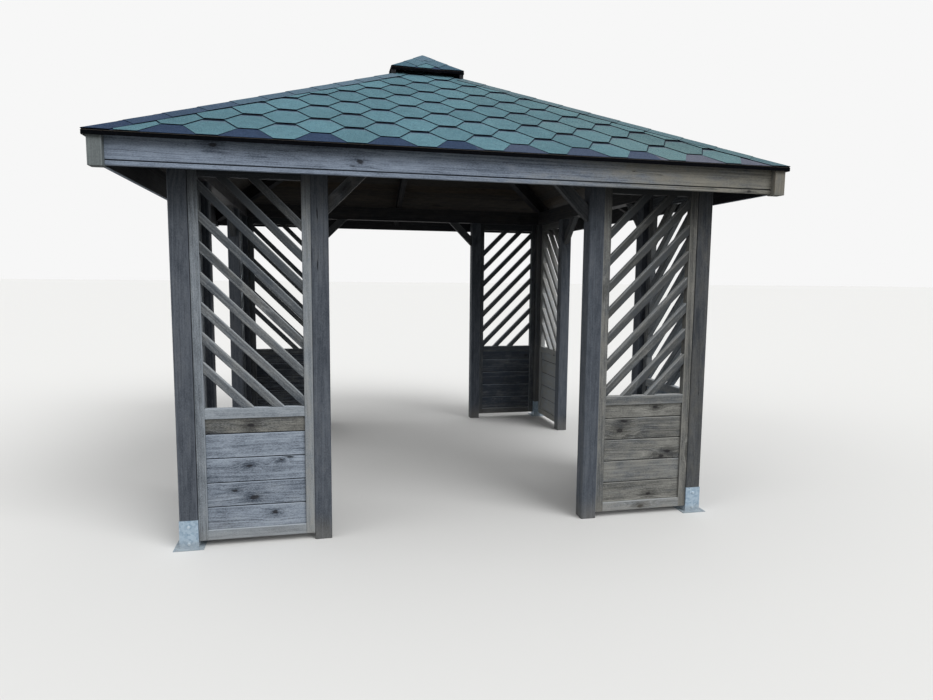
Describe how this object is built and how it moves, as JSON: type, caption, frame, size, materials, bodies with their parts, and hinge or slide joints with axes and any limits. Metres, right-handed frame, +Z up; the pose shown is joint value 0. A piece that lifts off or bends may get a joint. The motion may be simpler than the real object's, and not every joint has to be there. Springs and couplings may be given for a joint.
{
  "type": "garden gazebo",
  "caption": "Square open timber gazebo with slatted corner panels, central openings, knee braces, a hipped shingle roof and a small vent cupola.",
  "frame": {"origin": "ground level, in the middle of the square plan", "axes": "+Z up along the roof's centre line, the front faces -Y, +X to the right of someone looking at the front"},
  "size_m": [3.568, 3.568, 3.0656],
  "materials": {
    "post_timber": "dark grey stain on planed softwood",
    "panel_timber": "dark grey stain on planed softwood",
    "beam_timber": "dark grey stain on planed softwood",
    "fascia_timber": "dark grey stain on planed softwood",
    "deck_timber": "dark grey stain on tongued boards",
    "shingles": "matt mineral granules on bitumen felt",
    "hip_shingles": "matt mineral granules on bitumen felt",
    "galvanised_steel": "dull zinc coating"
  },
  "bodies": {
    "root": {"corner_post_front_left": "post_timber", "corner_post_front_right": "post_timber", "corner_post_rear_right": "post_timber", "corner_post_rear_left": "post_timber", "door_posts_front": "post_timber", "door_posts_right": "post_timber", "door_posts_rear": "post_timber", "door_posts_left": "post_timber", "post_shoes": "galvanised_steel", "panel_front_left": "panel_timber", "panel_front_right": "panel_timber", "panel_right_front": "panel_timber", "panel_right_rear": "panel_timber", "panel_rear_right": "panel_timber", "panel_rear_left": "panel_timber", "panel_left_rear": "panel_timber", "panel_left_front": "panel_timber", "ring_beam_front": "beam_timber", "ring_beam_right": "beam_timber", "ring_beam_rear": "beam_timber", "ring_beam_left": "beam_timber", "braces_front": "beam_timber", "braces_right": "beam_timber", "braces_rear": "beam_timber", "braces_left": "beam_timber", "roof_hub": "beam_timber", "hip_rafters": "beam_timber", "common_rafters": "beam_timber", "fascia_front": "fascia_timber", "fascia_right": "fascia_timber", "fascia_rear": "fascia_timber", "fascia_left": "fascia_timber", "corner_blocks": "fascia_timber", "deck_front": "deck_timber", "deck_right": "deck_timber", "deck_rear": "deck_timber", "deck_left": "deck_timber", "shingles_front": "shingles", "shingles_right": "shingles", "shingles_rear": "shingles", "shingles_left": "shingles", "hip_caps": "hip_shingles", "cupola_legs": "beam_timber", "cupola_deck": "deck_timber", "cupola_covering": "shingles"}
  },
  "joints": []
}
